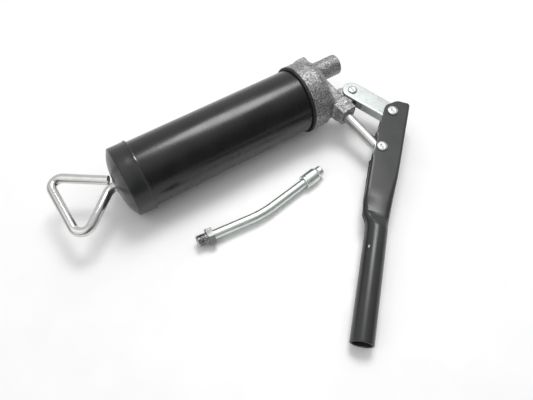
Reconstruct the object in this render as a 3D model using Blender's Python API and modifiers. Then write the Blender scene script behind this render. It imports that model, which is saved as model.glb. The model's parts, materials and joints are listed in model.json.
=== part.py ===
"""Lever-action grease gun, lying on its side with its loose bent extension pipe beside it.

Metres, +Z up. The barrel lies along X with its rear cap towards -X, and the hand lever is on the -Y side.
The origin is under the middle of the object's box, on the surface that it lies on.
"""

import math

import bmesh
import bpy
from mathutils import Vector

MM = 0.001

# Where the gun lies: the rear edge of the barrel's rear band, and the roll that lets the lever's end rest.
REAR_X = -96.42 * MM
AXIS_Y = 87.14 * MM
AXIS_Z = 30.8 * MM
LIE_ROLL = math.radians(6.18)

# Barrel, measured along its axis from the rear edge of its rear band.
BARREL_R = 28.5 * MM
BARREL_WALL = 1.2 * MM
BARREL_REAR = 2.0 * MM
BARREL_FRONT = 180.0 * MM
GAP = 0.3 * MM

# Rear cap and the bush that guides the pull rod.
BAND_R = 29.8 * MM
BAND_LENGTH = 14.5 * MM
BEAD_R = 30.3 * MM
DOME_DEPTH = 7.5 * MM
DOME_EDGE = 1.7 * MM
CAP_WALL = 1.4 * MM
BUSH_R = 6.0 * MM
ROD_R = 4.0 * MM

# Head casting.
COLLAR_REAR = 167.7 * MM
COLLAR_FRONT = 191.0 * MM
COLLAR_R = 30.7 * MM
HEAD_FLOOR = 181.0 * MM
GASKET_LENGTH = 2.0 * MM

# Pump: the bore crosses the barrel's axis at PUMP_X, leaning forwards towards the lever.
PUMP_X = 193.4 * MM
PUMP_LEAN = math.radians(4.4)
SPINE_HALF_WIDTH = 6.4 * MM
SPINE_HALF_HEIGHT = 9.3 * MM
SPINE_FAR_END = 33.6 * MM
BLOCK_END = 38.6 * MM
BLOCK_START = 24.0 * MM
BORE_R = 5.0 * MM
BORE_BOTTOM = 29.2 * MM
PLUNGER_R = 4.75 * MM
PLUNGER_TIP = -3.0 * MM

# Outlet boss, parallel to the barrel, with its check valve.
OUTLET_Y = 17.2 * MM
OUTLET_END = 223.4 * MM
OUTLET_R = 9.5 * MM
THREAD_BORE_R = 5.0 * MM
BALL_R = 3.0 * MM
BALL_X = 205.4 * MM
CHECK_LIFT = 0.4 * MM

# Linkage pins in the pump's own plane: forwards of the bore's axis, and out towards the lever.
HEAD_PIN = Vector((20.7, -20.3)) * MM
LINK_PIN = Vector((33.4, -59.2)) * MM
PLUNGER_PIN = Vector((0.0, -81.6)) * MM
PIN_R = 3.0 * MM
PIN_HOLE_R = 3.3 * MM
OPEN_PIVOT_HOLE_R = 4.5 * MM
EAR_HALF = 2.8 * MM
LINK_HALF = 4.6 * MM
LINK_HALF_WIDTH = 8.7 * MM
LINK_SHEET = 1.5 * MM
LEVER_HALF = 6.6 * MM
LEVER_SHEET = 1.5 * MM

# Hand lever, in its own frame: +X runs from the plunger pin to the open end of the handle tube.
HANDLE_TURN = math.radians(-138.9)
HANDLE_END = 166.5 * MM
HANDLE_AXIS_Y = 5.2 * MM
HANDLE_R = 8.9 * MM
HANDLE_WALL = 1.5 * MM

# Extension pipe, lying on the surface, measured from the same point as the barrel.
PIPE_R = 4.0 * MM
PIPE_BORE_R = 2.2 * MM
NUT_AF = 14.0 * MM
COUPLER_R = 6.1 * MM

# Colours, with metallic and roughness values.
FINISHES = {
    "black_enamel": ((0.030, 0.031, 0.032), 0.3, 0.32),
    "cap_enamel": ((0.050, 0.052, 0.051), 0.3, 0.30),
    "cast_iron": ((0.200, 0.200, 0.198), 0.6, 0.55),
    "chrome": ((0.760, 0.760, 0.750), 1.0, 0.12),
    "zinc": ((0.660, 0.670, 0.650), 1.0, 0.28),
    "steel": ((0.540, 0.540, 0.530), 1.0, 0.30),
    "charcoal_enamel": ((0.075, 0.078, 0.079), 0.2, 0.38),
    "rubber": ((0.015, 0.015, 0.015), 0.0, 0.60),
}
ALONG_BARREL = (0, math.radians(90), 0)
TOWARDS_LEVER = (math.radians(90), 0, 0)

gun = bpy.data.collections.new("grease_gun")
cutters = bpy.data.collections.new("cutters")


def clear_scene():
    for obj in list(bpy.data.objects):
        bpy.data.objects.remove(obj, do_unlink=True)
    for collection in (gun, cutters):
        bpy.context.scene.collection.children.link(collection)
    bpy.context.scene.unit_settings.scale_length = 1.0


def make_finishes():
    for name, (colour, metallic, roughness) in FINISHES.items():
        material = bpy.data.materials.new(name)
        material.use_nodes = True
        shader = material.node_tree.nodes["Principled BSDF"]
        shader.inputs["Base Color"].default_value = (*colour, 1.0)
        shader.inputs["Metallic"].default_value = metallic
        shader.inputs["Roughness"].default_value = roughness
        material.diffuse_color = (*colour, 1.0)


def frame(name, parent=None, location=(0, 0, 0), turn=(0, 0, 0)):
    """An empty that pieces are placed in."""
    empty = bpy.data.objects.new(name, None)
    empty.empty_display_size = 0.02
    gun.objects.link(empty)
    empty.parent = parent
    empty.location = location
    empty.rotation_euler = turn
    return empty


def place(obj, finish, parent, location=(0, 0, 0), turn=(0, 0, 0)):
    """Puts an object in the gun, or among the cutters when it has no finish."""
    for collection in obj.users_collection:
        collection.objects.unlink(obj)
    if finish:
        gun.objects.link(obj)
        obj.data.materials.append(bpy.data.materials[finish])
    else:
        cutters.objects.link(obj)
        obj.hide_render = True
        obj.display_type = "WIRE"
    obj.parent = parent
    obj.location = location
    obj.rotation_euler = turn
    return obj


def turned(name, profile, finish, parent, location=(0, 0, 0), turn=(0, 0, 0), steps=40):
    """A solid turned round its local Z axis: (radius, height) points down its outer side and up its inner side."""
    mesh = bpy.data.meshes.new(name)
    bm = bmesh.new()
    points = [bm.verts.new((radius, 0, height)) for radius, height in profile]
    for first, second in zip(points, points[1:]):
        bm.edges.new((first, second))
    if profile[0][0] > 0:
        bm.edges.new((points[-1], points[0]))
    bm.to_mesh(mesh)
    bm.free()
    obj = place(bpy.data.objects.new(name, mesh), finish, parent, location, turn)
    screw = obj.modifiers.new("turn", "SCREW")
    screw.steps = steps
    screw.render_steps = steps
    screw.use_merge_vertices = True
    screw.merge_threshold = 0.00001
    screw.use_smooth_shade = True
    return obj


def cylinder(name, radius, low, high, finish, parent, location=(0, 0, 0), turn=(0, 0, 0), sides=40):
    """A cylinder along its local Z axis between two heights."""
    mesh = bpy.data.meshes.new(name)
    bm = bmesh.new()
    bmesh.ops.create_cone(bm, cap_ends=True, segments=sides, radius1=radius, radius2=radius, depth=high - low)
    bmesh.ops.translate(bm, verts=bm.verts, vec=(0, 0, (low + high) / 2))
    bm.to_mesh(mesh)
    bm.free()
    return place(bpy.data.objects.new(name, mesh), finish, parent, location, turn)


def box(name, low, high, finish, parent, location=(0, 0, 0), turn=(0, 0, 0)):
    mesh = bpy.data.meshes.new(name)
    bm = bmesh.new()
    bmesh.ops.create_cube(bm, size=1.0)
    low, high = Vector(low), Vector(high)
    bmesh.ops.scale(bm, vec=high - low, verts=bm.verts)
    bmesh.ops.translate(bm, vec=(low + high) / 2, verts=bm.verts)
    bm.to_mesh(mesh)
    bm.free()
    return place(bpy.data.objects.new(name, mesh), finish, parent, location, turn)


def rounded(corners, closed=True, arc_steps=5):
    """Points along a line with corners of (point, radius), each rounded with an arc."""
    count = len(corners)
    points = []
    for i, (corner, radius) in enumerate(corners):
        corner = Vector(corner)
        if radius == 0 or (not closed and i in (0, count - 1)):
            points.append(corner)
            continue
        before = (Vector(corners[i - 1][0]) - corner).normalized()
        after = (Vector(corners[(i + 1) % count][0]) - corner).normalized()
        half = before.angle(after) / 2
        centre = corner + (before + after).normalized() * (radius / math.sin(half))
        start = corner + before * (radius / math.tan(half)) - centre
        end = corner + after * (radius / math.tan(half)) - centre
        sweep = start.angle(end)
        for step in range(arc_steps + 1):
            share = step / arc_steps
            weight = math.sin((1 - share) * sweep), math.sin(share * sweep)
            points.append(centre + (start * weight[0] + end * weight[1]) / math.sin(sweep))
    return points


def as_mesh(curve_object):
    """The mesh of a curve object, its caps welded to its sides, in the curve's place."""
    bpy.context.view_layer.update()
    evaluated = curve_object.evaluated_get(bpy.context.evaluated_depsgraph_get())
    mesh = bpy.data.meshes.new_from_object(evaluated)
    bm = bmesh.new()
    bm.from_mesh(mesh)
    bmesh.ops.remove_doubles(bm, verts=bm.verts, dist=0.000002)
    bmesh.ops.recalc_face_normals(bm, faces=bm.faces)
    bm.to_mesh(mesh)
    bm.free()
    name = curve_object.name
    curve = curve_object.data
    bpy.data.objects.remove(curve_object)
    bpy.data.curves.remove(curve)
    mesh.name = name
    mesh.materials.clear()
    return bpy.data.objects.new(name, mesh)


def spline_object(name, points, cyclic):
    curve = bpy.data.curves.new(name, "CURVE")
    spline = curve.splines.new("POLY")
    spline.points.add(len(points) - 1)
    for target, point in zip(spline.points, points):
        target.co = (*Vector(point).to_3d(), 1.0)
    spline.use_cyclic_u = cyclic
    obj = bpy.data.objects.new(name, curve)
    gun.objects.link(obj)
    return obj


def plate(name, outline, low, high, finish, parent, location=(0, 0, 0), turn=(0, 0, 0)):
    """A flat outline in the local XY plane, extruded between two heights."""
    obj = spline_object(name, outline, cyclic=True)
    obj.data.dimensions = "2D"
    obj.data.fill_mode = "BOTH"
    obj.data.extrude = (high - low) / 2
    obj = as_mesh(obj)
    for vertex in obj.data.vertices:
        vertex.co.z += (low + high) / 2
    return place(obj, finish, parent, location, turn)


def wire(name, points, radius, finish, parent, location=(0, 0, 0), turn=(0, 0, 0), resolution=3):
    """A round rod that follows the points."""
    obj = spline_object(name, points, cyclic=False)
    obj.data.dimensions = "3D"
    obj.data.bevel_depth = radius
    obj.data.bevel_resolution = resolution
    obj.data.use_fill_caps = True
    return place(as_mesh(obj), finish, parent, location, turn)


def combine(obj, other, operation):
    boolean = obj.modifiers.new(f"{operation.lower()} {other.name}", "BOOLEAN")
    boolean.operation = operation
    boolean.solver = "EXACT"
    boolean.object = other


def join(obj, *others):
    for other in others:
        combine(obj, other, "UNION")


def cut(obj, *others):
    for other in others:
        combine(obj, other, "DIFFERENCE")


def bevel(obj, width, segments=1, angle=40):
    modifier = obj.modifiers.new("edges", "BEVEL")
    modifier.width = width
    modifier.segments = segments
    modifier.limit_method = "ANGLE"
    modifier.angle_limit = math.radians(angle)


def circle_points(radius, start, end, steps):
    """Points along an arc about the origin, in degrees."""
    angles = [math.radians(start + (end - start) * step / steps) for step in range(steps + 1)]
    return [Vector((radius * math.cos(angle), radius * math.sin(angle))) for angle in angles]


def hexagon(across_flats):
    return circle_points(across_flats / math.sqrt(3), 0, 300, 5)


def make_barrel(base):
    """The barrel tube, its domed rear cap, the pull rod's bush and the gasket behind the head."""
    inner = BARREL_R - BARREL_WALL
    sides = [(BARREL_R, BARREL_FRONT), (BARREL_R, BARREL_REAR), (inner, BARREL_REAR), (inner, BARREL_FRONT)]
    turned("barrel_tube", sides, "black_enamel", base, turn=ALONG_BARREL, steps=56)

    hole = BUSH_R + GAP
    skirt = BARREL_R + GAP
    outside = [(BEAD_R - 0.5 * MM, BAND_LENGTH), (BEAD_R, BAND_LENGTH - 0.5 * MM), (BEAD_R, BAND_LENGTH - 1.6 * MM)]
    outside += [(BAND_R, BAND_LENGTH - 2.2 * MM), (BAND_R, 0), (BAND_R - 0.5 * MM, -1.1 * MM)]
    inside = [(skirt, 0.6 * MM)]
    rim = BAND_R - 1.5 * MM
    for step in range(7):
        radius = rim + (hole - rim) * step / 6
        depth = DOME_EDGE + (DOME_DEPTH - DOME_EDGE) * (1 - (radius / rim) ** 2)
        outside.append((radius, -depth))
        inside.append((radius - 0.6 * MM if step < 6 else hole, CAP_WALL - depth))
    inside.reverse()
    inside.append((skirt, BAND_LENGTH))
    turned("rear_cap", outside + inside, "cap_enamel", base, turn=ALONG_BARREL, steps=48)

    back = -DOME_DEPTH - 0.6 * MM
    bore = ROD_R + GAP
    bush = [(BUSH_R, -3.0 * MM), (BUSH_R, back + 0.5 * MM), (BUSH_R - 0.5 * MM, back), (bore, back), (bore, -3.0 * MM)]
    turned("rod_bush", bush, "steel", base, turn=ALONG_BARREL, steps=32)

    front = COLLAR_REAR - GAP
    rear = front - GASKET_LENGTH
    top = COLLAR_R + 0.1 * MM
    gasket = [(top - 0.6 * MM, front), (top, front - 0.6 * MM), (top, rear + 0.6 * MM), (top - 0.6 * MM, rear)]
    gasket += [(BARREL_R + GAP, rear), (BARREL_R + GAP, front)]
    turned("barrel_gasket", gasket, "rubber", base, turn=ALONG_BARREL, steps=48)


def make_head(base, pump):
    """The head casting: a collar over the barrel, a spine with the pump bore, the link's ear and the outlet boss."""
    socket = BARREL_R + 0.4 * MM
    collar = [(0, COLLAR_FRONT), (18.0 * MM, COLLAR_FRONT), (25.0 * MM, COLLAR_FRONT - 1.7 * MM)]
    collar += [(29.0 * MM, COLLAR_FRONT - 4.4 * MM), (COLLAR_R, COLLAR_FRONT - 7.8 * MM)]
    collar += [(COLLAR_R, COLLAR_REAR + 0.7 * MM), (COLLAR_R - 0.7 * MM, COLLAR_REAR)]
    collar += [(socket, COLLAR_REAR), (socket, HEAD_FLOOR), (0, HEAD_FLOOR)]
    head = turned("head_casting", collar, "cast_iron", base, turn=ALONG_BARREL, steps=56)

    low = (-SPINE_HALF_WIDTH, -BLOCK_START - 6.0 * MM, -SPINE_HALF_HEIGHT)
    high = (SPINE_HALF_WIDTH, SPINE_FAR_END, SPINE_HALF_HEIGHT)
    spine = box("spine", low, high, None, pump)
    bevel(spine, 1.2 * MM, segments=2)
    section = [((-7.4, 9.5), 1.0), ((7.8, 9.5), 1.0), ((8.7, 5.0), 1.5), ((8.7, -3.6), 3.0)]
    section += [((4.6, -10.0), 3.0), ((-4.6, -10.0), 3.0), ((-8.7, -3.6), 3.0), ((-8.7, 5.0), 1.5)]
    section = [(Vector(point) * MM, radius * MM) for point, radius in section]
    block = plate("block", rounded(section, arc_steps=2), BLOCK_START, BLOCK_END, None, pump, turn=TOWARDS_LEVER)

    rim = [Vector((*HEAD_PIN,)) + point for point in circle_points(7.2 * MM, -105, 75, 10)]
    ear_outline = [Vector((3.0, -33.0)) * MM] + rim + [Vector((3.0, -8.0)) * MM]
    ear = plate("ear", ear_outline, -EAR_HALF, EAR_HALF, None, pump)

    boss_profile = [(0, OUTLET_END), (OUTLET_R - 0.9 * MM, OUTLET_END), (OUTLET_R, OUTLET_END - 0.9 * MM)]
    boss_profile += [(OUTLET_R + 0.2 * MM, 186.0 * MM), (0, 186.0 * MM)]
    boss = turned("boss", boss_profile, None, base, (0, OUTLET_Y, 0), ALONG_BARREL, steps=32)
    join(head, spine, block, ear, boss)

    groove_low, groove_high, groove_r = 30.0 * MM, 33.0 * MM, 6.9 * MM
    bore = [(0, BLOCK_END + MM), (BORE_R, BLOCK_END + MM), (BORE_R, groove_high), (groove_r, groove_high)]
    bore += [(groove_r, groove_low), (BORE_R, groove_low), (BORE_R, -BORE_BOTTOM), (0, -BORE_BOTTOM - 1.0 * MM)]
    bore = turned("pump_bore", bore, None, pump, turn=TOWARDS_LEVER, steps=32)
    inlet = cylinder("inlet_port", 3.5 * MM, HEAD_FLOOR - MM, PUMP_X, None, base, turn=ALONG_BARREL, sides=24)
    outlet = [(0, OUTLET_END + 2 * MM), (THREAD_BORE_R, OUTLET_END + 2 * MM), (THREAD_BORE_R, 212.8 * MM)]
    outlet += [(3.9 * MM, 212.8 * MM), (3.9 * MM, BALL_X - 0.9 * MM), (2.2 * MM, BALL_X - 2.4 * MM)]
    outlet += [(2.2 * MM, 193.0 * MM), (0, 193.0 * MM)]
    outlet = turned("outlet_bore", outlet, None, base, (0, OUTLET_Y, 0), ALONG_BARREL, steps=24)
    pin_hole = cylinder("ear_hole", PIN_HOLE_R, -10 * MM, 10 * MM, None, pump, (*HEAD_PIN, 0), sides=24)
    cut(head, bore, inlet, outlet, pin_hole)

    seal = [(groove_r - 0.25 * MM, groove_high - 0.3 * MM), (groove_r - 0.25 * MM, groove_low + 0.3 * MM)]
    seal += [(PLUNGER_R + 0.1 * MM, groove_low + 0.3 * MM), (PLUNGER_R + 0.1 * MM, groove_high - 0.3 * MM)]
    turned("plunger_seal", seal, "rubber", pump, turn=TOWARDS_LEVER, steps=24)


def make_check_valve(base):
    """The outlet's check ball, its spring and the hollow screw that holds them."""
    outlet = frame("outlet_frame", base, (0, OUTLET_Y, 0), ALONG_BARREL)
    mesh = bpy.data.meshes.new("check_ball")
    bm = bmesh.new()
    bmesh.ops.create_uvsphere(bm, u_segments=16, v_segments=10, radius=BALL_R)
    bm.to_mesh(mesh)
    bm.free()
    place(bpy.data.objects.new("check_ball", mesh), "steel", outlet, (0, 0, BALL_X))
    coil("check_spring", 2.2 * MM, 0.3 * MM, BALL_X + BALL_R + CHECK_LIFT + 0.6 * MM, 212.4 * MM, 3, "steel", outlet, 10)
    outer, hole = THREAD_BORE_R - GAP, 2.0 * MM
    retainer = [(outer, 216.3 * MM), (outer, 213.1 * MM), (hole, 213.1 * MM), (hole, 216.3 * MM)]
    turned("valve_retainer", retainer, "steel", outlet, steps=24)


def coil(name, radius, wire_radius, low, high, turns, finish, parent, per_turn):
    """A helical spring along its local Z axis."""
    points = []
    for step in range(turns * per_turn + 1):
        angle = 2 * math.pi * step / per_turn
        height = low + (high - low) * step / (turns * per_turn)
        points.append(Vector((radius * math.cos(angle), radius * math.sin(angle), height)))
    wire(name, points, wire_radius, finish, parent, resolution=1)


def make_follower(base):
    """The rubber cup that pushes the grease, its two plates, its spring and the pull rod with its loop handle."""
    along = frame("follower_frame", base, turn=ALONG_BARREL)
    clear = 3.3 * MM
    cup = [(24.5, 169.0), (27.0, 168.0), (26.6, 155.5), (25.0, 153.6), (3.3, 153.6), (3.3, 157.0), (22.0, 157.0)]
    turned("follower_cup", [(r * MM, h * MM) for r, h in cup], "rubber", along, steps=48)
    for name, radius, low in (("follower_plate_rear", 23.5, 151.8), ("follower_plate_front", 20.0, 157.3)):
        low = low * MM
        sides = [(radius * MM, low + 1.5 * MM), (radius * MM, low), (clear, low), (clear, low + 1.5 * MM)]
        turned(name, sides, "zinc", along, steps=32)
    nut = plate("rod_nut", hexagon(10 * MM), 159.1 * MM, 163.6 * MM, "zinc", along)
    cut(nut, cylinder("rod_nut_hole", clear, 150 * MM, 170 * MM, None, along, sides=20))
    coil("follower_spring", 24.5 * MM, 0.9 * MM, 5.5 * MM, 150.5 * MM, 8, "steel", along, 12)

    corners = [((151.5, 0), 0), ((-12.8, 0), 10.0), ((-49.7, -33.2), 7.5), ((-52.0, 35.6), 7.5), ((-9.8, 7.8), 0)]
    path = rounded([(Vector(point) * MM, radius * MM) for point, radius in corners], closed=False, arc_steps=6)
    rod = wire("pull_rod", path, ROD_R, "chrome", base, resolution=4)
    stub = cylinder("rod_stub", 3.0 * MM, 150 * MM, 165.5 * MM, None, base, turn=ALONG_BARREL, sides=20)
    join(rod, stub)


def pin(name, half, head_r, parent, location):
    """A rivet with a domed head at each end, along its local Z axis."""
    dome = []
    for step in range(4):
        angle = math.radians(90 * step / 3)
        dome.append((head_r * math.sin(angle), half + 0.5 * MM + 1.9 * MM * math.cos(angle)))
    side = dome + [(head_r, half), (PIN_R, half)]
    turned(name, side + [(r, -h) for r, h in reversed(side)], "zinc", parent, location, steps=20)


def make_plunger(pump):
    """The pump's plunger, with an eye for its pin at the outer end."""
    reach = -PLUNGER_PIN.y
    rod_profile = [(0, reach), (PLUNGER_R, reach), (PLUNGER_R, PLUNGER_TIP + 0.8 * MM)]
    rod_profile += [(PLUNGER_R - 0.8 * MM, PLUNGER_TIP), (0, PLUNGER_TIP)]
    rod = turned("plunger_rod", rod_profile, "steel", pump, turn=TOWARDS_LEVER, steps=32)
    eye = cylinder("plunger_eye", 6.0 * MM, -4.5 * MM, 4.5 * MM, None, pump, (*PLUNGER_PIN, 0), sides=28)
    join(rod, eye)
    cut(rod, cylinder("plunger_hole", PIN_HOLE_R, -10 * MM, 10 * MM, None, pump, (*PLUNGER_PIN, 0), sides=24))


def make_link(pump):
    """The folded link between the head's ear and the lever. Its own frame runs from the head pin along +X."""
    span = LINK_PIN - HEAD_PIN
    link_frame = frame("link_frame", pump, (*HEAD_PIN, 0), (0, 0, math.atan2(span.y, span.x)))
    length = span.length
    web, edge = -LINK_HALF_WIDTH, LINK_HALF_WIDTH
    outline = circle_points(LINK_HALF_WIDTH, 90, 270, 14)
    outline += [point + Vector((length, 0)) for point in circle_points(LINK_HALF_WIDTH, -90, 90, 14)]
    link = plate("link_yoke", outline, -LINK_HALF, LINK_HALF, "zinc", link_frame)
    bevel(link, 0.8 * MM, segments=1, angle=60)
    inner = LINK_HALF - LINK_SHEET
    low = (-20 * MM, web + LINK_SHEET, -inner)
    hollow = box("link_hollow", low, (length + 20 * MM, edge + 10 * MM, inner), None, link_frame)
    notch_low = (-20 * MM, web - 5 * MM, -inner)
    head_notch = box("link_head_notch", notch_low, (15.0 * MM, web + 6 * MM, inner), None, link_frame)
    hole = cylinder("link_head_hole", PIN_HOLE_R, -20 * MM, 20 * MM, None, link_frame, sides=24)
    open_hole = cylinder(
        "link_open_hole", OPEN_PIVOT_HOLE_R, -20 * MM, 20 * MM, None, link_frame, (length, 0, 0), sides=24
    )
    cut(link, hollow, head_notch, hole, open_hole)
    pin("head_pin", LINK_HALF + GAP, 4.1 * MM, link_frame, (0, 0, 0))


def make_lever(pump):
    """The hand lever: a pressed channel round the pins that closes into a round handle tube, with its two pins."""
    lever_frame = frame("lever_frame", pump, (*PLUNGER_PIN, 0), (0, 0, HANDLE_TURN))
    barrel_side = [((22.0, -7.6), 0), ((12.2, -7.2), 0.4), ((10.8, -5.9), 0.4), ((-11.6, -4.9), 0.4)]
    barrel_side += [((-13.0, -6.0), 0.4), ((-21.4, -5.3), 0.4), ((-22.8, -4.0), 0.4)]
    corners = barrel_side + [((-44.8, -1.9), 8.0), ((-52.4, 8.0), 6.0), ((-51.8, 20.0), 4.5), ((22.0, 16.7), 0)]
    corners = [(Vector(point) * MM, radius * MM) for point, radius in corners]
    lever = plate("lever_handle", rounded(corners), -LEVER_HALF, LEVER_HALF, "charcoal_enamel", lever_frame)
    bevel(lever, 1.8 * MM, segments=2, angle=60)
    corners = [((70.5, -3.2), 2.5), ((63.0, -7.9), 3.0), ((16.0, -7.5), 0), ((16.0, 17.0), 0), ((70.5, 13.4), 2.0)]
    corners = [(Vector(point) * MM, radius * MM) for point, radius in corners]
    rear = plate("lever_rear", rounded(corners), -LEVER_HALF, LEVER_HALF, None, lever_frame)
    bevel(rear, 4.0 * MM, segments=3, angle=60)
    axis = (0, HANDLE_AXIS_Y, 0)
    tube = [(0, HANDLE_END), (HANDLE_R, HANDLE_END), (HANDLE_R, 74 * MM), (6.2 * MM, 60 * MM), (0, 60 * MM)]
    tube = turned("handle_tube", tube, None, lever_frame, axis, ALONG_BARREL, steps=36)
    join(lever, rear, tube)

    inner = LEVER_HALF - LEVER_SHEET
    cavity_corners = [(-70, -30), (13.0, -30), (13.0, -5.6), (63.0, -6.4), (66.0, -3.4), (66.0, 12.6), (-70, 18.8)]
    cavity_outline = [Vector(point) * MM for point in cavity_corners]
    cavity = plate("lever_cavity", cavity_outline, -inner, inner, None, lever_frame)
    slot = box("lever_slot", (10 * MM, -30 * MM, -2.2 * MM), (64 * MM, 0, 2.2 * MM), None, lever_frame)
    bore_r = HANDLE_R - HANDLE_WALL
    bore = [(0, HANDLE_END + MM), (bore_r, HANDLE_END + MM), (bore_r, 76 * MM), (4.7 * MM, 60 * MM), (0, 60 * MM)]
    bore = turned("handle_bore", bore, None, lever_frame, axis, ALONG_BARREL, steps=32)
    holes = []
    turn_back = -HANDLE_TURN
    apart = LINK_PIN - PLUNGER_PIN
    at_link = Vector((
        apart.x * math.cos(turn_back) - apart.y * math.sin(turn_back),
        apart.x * math.sin(turn_back) + apart.y * math.cos(turn_back),
        0,
    ))
    for name, location in (("plunger_pin", Vector((0, 0, 0))), ("link_pin", at_link)):
        hole = cylinder(f"{name}_hole", PIN_HOLE_R, -20 * MM, 20 * MM, None, lever_frame, location, sides=24)
        holes.append(hole)
        pin(name, LEVER_HALF + GAP, 4.7 * MM, lever_frame, location)
    cut(lever, cavity, slot, bore, *holes)


def make_extension_pipe(floor):
    """The loose bent pipe: a threaded end with its lock nut, and the jawed coupler at the other end."""
    bend = frame("pipe_frame", floor, (85.5 * MM, -72.5 * MM, 6.63 * MM), (0, math.radians(0.5), 0))
    thread_end = Vector((-58.2, 5.7, 0)) * MM
    coupler_end = Vector((66.9, 10.9, 0)) * MM
    thread_turn = math.atan2(-thread_end.y, -thread_end.x)
    coupler_turn = math.atan2(coupler_end.y, coupler_end.x)
    thread_frame = frame("thread_frame", bend, thread_end, (0, math.radians(90), thread_turn))
    coupler_frame = frame("coupler_frame", bend, coupler_end, (0, math.radians(90), coupler_turn))

    pipe_end = coupler_end - coupler_end.normalized() * 12.4 * MM
    path = rounded([(thread_end, 0), (Vector((0, 0, 0)), 90.0 * MM), (pipe_end, 0)], closed=False, arc_steps=6)
    pipe = wire("extension_pipe", path, PIPE_R, "zinc", bend, resolution=4)
    thread = [(0, 8.6), (4.85, 8.6), (4.85, 0.5), (4.35, 0.0), (0, 0.0)]
    thread = turned("pipe_thread", [(r * MM, h * MM) for r, h in thread], None, thread_frame, steps=28)
    join(pipe, thread)
    longer = [point.copy() for point in path]
    longer[0] = longer[0] + (longer[0] - longer[1]).normalized() * 2 * MM
    longer[-1] = longer[-1] + (longer[-1] - longer[-2]).normalized() * 2 * MM
    cut(pipe, wire("pipe_bore", longer, PIPE_BORE_R, None, bend, resolution=2))

    nut_outline = circle_points(NUT_AF / math.sqrt(3), 30, 330, 5)
    nut = plate("pipe_nut", nut_outline, 8.9 * MM, 14.2 * MM, "zinc", thread_frame)
    cut(nut, cylinder("pipe_nut_hole", PIPE_R + GAP, 5 * MM, 18 * MM, None, thread_frame, sides=24))

    inner = COUPLER_R - 1.0 * MM
    sleeve = [(4.2 * MM, 0), (4.6 * MM, -0.5 * MM), (4.6 * MM, -4.6 * MM), (COUPLER_R, -7.0 * MM)]
    sleeve += [(COUPLER_R, -20.0 * MM), (COUPLER_R - 0.5 * MM, -20.5 * MM), (PIPE_R + GAP, -20.5 * MM)]
    sleeve += [(PIPE_R + GAP, -12.1 * MM), (inner, -12.1 * MM), (inner, -7.6 * MM), (3.7 * MM, -5.6 * MM), (3.7 * MM, 0)]
    turned("coupler_sleeve", sleeve, "zinc", coupler_frame, steps=28)
    seal = [(4.8, -10.9), (4.8, -11.8), (1.5, -11.8), (1.5, -10.9)]
    turned("coupler_seal", [(r * MM, h * MM) for r, h in seal], "rubber", coupler_frame, steps=24)
    piston = [(4.8, -8.1), (4.8, -10.6), (1.5, -10.6), (1.5, -8.1)]
    turned("coupler_piston", [(r * MM, h * MM) for r, h in piston], "steel", coupler_frame, steps=24)
    for number in range(3):
        middle = 120 * number
        sector = circle_points(3.4 * MM, middle - 48, middle + 48, 6)
        sector += circle_points(2.2 * MM, middle + 44, middle - 44, 6)
        plate(f"coupler_jaw_{number + 1}", sector, -7.2 * MM, -0.2 * MM, "steel", coupler_frame)


def main():
    clear_scene()
    make_finishes()
    base = frame("gun_frame", None, (REAR_X, AXIS_Y, AXIS_Z), (LIE_ROLL, 0, 0))
    pump = frame("pump_frame", base, (PUMP_X, 0, 0), (0, 0, PUMP_LEAN))
    floor = frame("floor_frame", None, (REAR_X, AXIS_Y, 0))
    make_barrel(base)
    make_head(base, pump)
    make_check_valve(base)
    make_follower(base)
    make_plunger(pump)
    make_link(pump)
    make_lever(pump)
    make_extension_pipe(floor)


main()
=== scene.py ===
"""Looks of the lever grease gun and its loose extension pipe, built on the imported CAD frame.

Each piece that shows is a fine mesh in the place of its CAD node, and so is the follower spring. Its points
are worked out in millimetres, in the frame of the group that it belongs to: gun, pump, link, lever or pipe.
"""

import itertools
import json
import math

import bmesh
import bpy
import numpy as np
from mathutils import Matrix, Vector


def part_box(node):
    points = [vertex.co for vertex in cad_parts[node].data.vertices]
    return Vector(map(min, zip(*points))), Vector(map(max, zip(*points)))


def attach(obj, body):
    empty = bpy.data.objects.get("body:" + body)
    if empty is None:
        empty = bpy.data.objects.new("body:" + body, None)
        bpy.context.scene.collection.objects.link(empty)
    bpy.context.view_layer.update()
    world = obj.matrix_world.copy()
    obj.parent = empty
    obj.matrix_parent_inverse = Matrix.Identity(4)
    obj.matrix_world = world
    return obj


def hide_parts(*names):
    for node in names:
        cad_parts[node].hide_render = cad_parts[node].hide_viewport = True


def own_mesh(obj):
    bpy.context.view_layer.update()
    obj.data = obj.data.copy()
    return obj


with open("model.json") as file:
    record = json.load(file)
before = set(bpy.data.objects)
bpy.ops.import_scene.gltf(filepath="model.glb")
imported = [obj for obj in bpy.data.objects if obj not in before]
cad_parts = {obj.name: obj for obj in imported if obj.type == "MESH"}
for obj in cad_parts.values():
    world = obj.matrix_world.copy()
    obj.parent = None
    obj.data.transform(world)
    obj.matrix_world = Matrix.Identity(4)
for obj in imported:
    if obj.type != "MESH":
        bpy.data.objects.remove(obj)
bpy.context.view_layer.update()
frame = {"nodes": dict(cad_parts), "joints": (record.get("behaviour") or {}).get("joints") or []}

MM = 0.001
UP = Vector((0, 0, 1))
joints = {joint["name"]: joint for joint in frame["joints"]}


# ---------------------------------------------------------------- local frames, taken from the CAD's joints


def axes_at(origin, x_axis, z_axis):
    """A matrix with its X and Z axes along the given directions, at the given origin."""
    x_axis, z_axis = Vector(x_axis).normalized(), Vector(z_axis).normalized()
    turn = Matrix((x_axis, z_axis.cross(x_axis), z_axis)).transposed().to_4x4()
    return Matrix.Translation(origin) @ turn


def spun(matrix, angle, place=(0, 0, 0)):
    """The frame moved by a place in millimetres, then turned about its own Z axis."""
    return matrix @ Matrix.Translation(Vector(place) * MM) @ Matrix.Rotation(angle, 4, "Z")


def middle(node):
    """The middle of a CAD node's box."""
    low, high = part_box(node)
    return (low + high) / 2


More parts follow.
